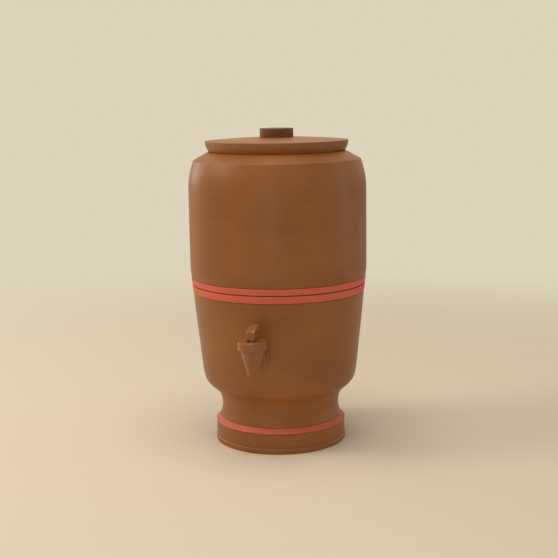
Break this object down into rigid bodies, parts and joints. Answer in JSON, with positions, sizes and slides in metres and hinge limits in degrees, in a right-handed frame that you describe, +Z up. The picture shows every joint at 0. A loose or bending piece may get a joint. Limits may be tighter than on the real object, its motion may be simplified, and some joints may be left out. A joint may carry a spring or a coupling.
{
  "type": "clay water pot with tap",
  "caption": "Two-chamber clay water filter: lidded upper vessel with filter candles on a footed lower vessel with a lever tap, banded in red.",
  "frame": {"origin": "centre of the foot's ring on the surface that the pot stands on", "axes": "+Z up along the pot's axis; the tap faces -Y"},
  "size_m": [0.2698, 0.3161, 0.479],
  "materials": {
    "clay": "smooth matt fired clay with a fine slip",
    "lid_clay": "smooth matt fired clay",
    "knob_clay": "matt fired clay, darker",
    "red_slip": "painted red slip, matt",
    "tap_plastic": "moulded plastic in the clay's brown",
    "candle_ceramic": "unglazed white filter ceramic",
    "carbon": "packed activated carbon",
    "white_plastic": "moulded white plastic",
    "float_plastic": "blown blue plastic",
    "rubber": "moulded rubber",
    "steel": "stainless wire"
  },
  "bodies": {
    "reservoir": {"lower_chamber": "clay", "foot": "clay", "foot_band": "red_slip", "lower_band": "red_slip", "tap_body": "tap_plastic", "tap_outer_washer": "rubber", "tap_inner_washer": "rubber", "tap_nut": "white_plastic", "tap_bonnet_gasket": "rubber", "tap_bonnet": "tap_plastic", "tap_spring": "steel"},
    "upper": {"upper_chamber": "clay", "upper_band": "red_slip", "candle_shell_left": "candle_ceramic", "candle_shell_right": "candle_ceramic", "candle_core_left": "carbon", "candle_core_right": "carbon", "candle_base_left": "white_plastic", "candle_base_right": "white_plastic", "candle_gaskets": "rubber", "candle_nuts": "white_plastic", "float_valve_left": "white_plastic", "float_valve_right": "white_plastic", "float_pins": "steel"},
    "cover": {"lid": "lid_clay", "lid_knob": "knob_clay"},
    "left_float": {"float_arm_left": "white_plastic", "float_pad_left": "rubber", "float_left": "float_plastic"},
    "right_float": {"float_arm_right": "white_plastic", "float_pad_right": "rubber", "float_right": "float_plastic"},
    "plunger": {"tap_plunger": "white_plastic", "tap_seat_cup": "rubber", "tap_lever_pin": "steel"},
    "lever": {"tap_lever": "tap_plastic"}
  },
  "joints": [
    {"name": "upper_lift", "type": "slide", "parent": "reservoir", "child": "upper", "axis": [0, 0, 1], "range_m": [0, 0.115]},
    {"name": "lid_lift", "type": "slide", "parent": "upper", "child": "cover", "axis": [0, 0, 1], "range_m": [0, 0.08]},
    {"name": "left_float_swing", "type": "hinge", "parent": "upper", "child": "left_float", "pos_m": [-0.052, -0.013, 0.1992], "axis": [1, 0, 0], "range_deg": [0, 24]},
    {"name": "right_float_swing", "type": "hinge", "parent": "upper", "child": "right_float", "pos_m": [0.052, -0.013, 0.1992], "axis": [1, 0, 0], "range_deg": [0, 24]},
    {"name": "plunger_rise", "type": "slide", "parent": "reservoir", "child": "plunger", "axis": [0, 0, 1], "range_m": [0, 0.0032], "deforming": ["tap_spring"]},
    {"name": "lever_pull", "type": "hinge", "parent": "plunger", "child": "lever", "pos_m": [0, -0.16, 0.1921], "axis": [0.9945, -0.1045, 0], "range_deg": [0, 45], "stiffness_Nm_per_rad": 0.02, "springref_deg": -28.65}
  ],
  "couplings": [
    {"joint": "plunger_rise", "follows": "lever_pull", "m_per_rad": 0.004}
  ]
}
